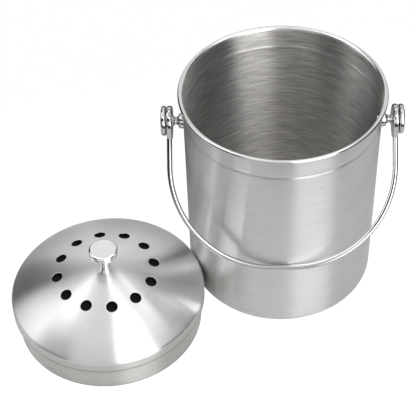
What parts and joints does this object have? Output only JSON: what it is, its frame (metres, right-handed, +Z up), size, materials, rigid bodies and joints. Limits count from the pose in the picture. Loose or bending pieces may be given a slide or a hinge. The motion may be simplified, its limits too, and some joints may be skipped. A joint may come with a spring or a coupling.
{
  "type": "compost caddy",
  "caption": "Straight steel pail with a rolled rim and a swinging wire bail, and a domed vented lift-off lid with a knob and a charcoal filter, lying beside it.",
  "frame": {"origin": "centre of the pail's base, on the surface it stands on", "axes": "+Z up along the pail's axis, +X along the handle's pivot axis, the handle hangs toward -Y and the lid lies toward -X and -Y"},
  "size_m": [0.3572, 0.2537, 0.211],
  "materials": {
    "pail_steel": "circumferentially brushed",
    "lid_steel": "circumferentially brushed",
    "pivot_chrome": "polished",
    "handle_chrome": "polished",
    "knob_chrome": "polished",
    "screw_steel": "bright",
    "seal_rubber": "matte",
    "grille_plastic": "moulded matte",
    "charcoal": "open foam with charcoal"
  },
  "bodies": {
    "pail": {"pail_body": "pail_steel", "left_pivot_post": "pivot_chrome", "right_pivot_post": "pivot_chrome", "left_pivot_screw": "screw_steel", "right_pivot_screw": "screw_steel", "left_seal_washer": "seal_rubber", "right_seal_washer": "seal_rubber", "left_pivot_cap": "pivot_chrome", "right_pivot_cap": "pivot_chrome"},
    "handle": {"handle_wire": "handle_chrome", "left_handle_eye": "handle_chrome", "right_handle_eye": "handle_chrome"},
    "lid": {"lid_shell": "lid_steel", "lid_knob": "knob_chrome", "knob_screw": "screw_steel", "knob_washer": "screw_steel", "filter_grille": "grille_plastic", "charcoal_filter": "charcoal"}
  },
  "joints": [
    {"name": "handle_swing", "type": "hinge", "parent": "pail", "child": "handle", "pos_m": [0, 0, 0.1763], "axis": [-1, 0, 0], "range_deg": [0, 273.3]},
    {"name": "lid_lift", "type": "slide", "parent": "pail", "child": "lid", "axis": [0, 0, 1], "range_m": [0, 0.05]}
  ]
}
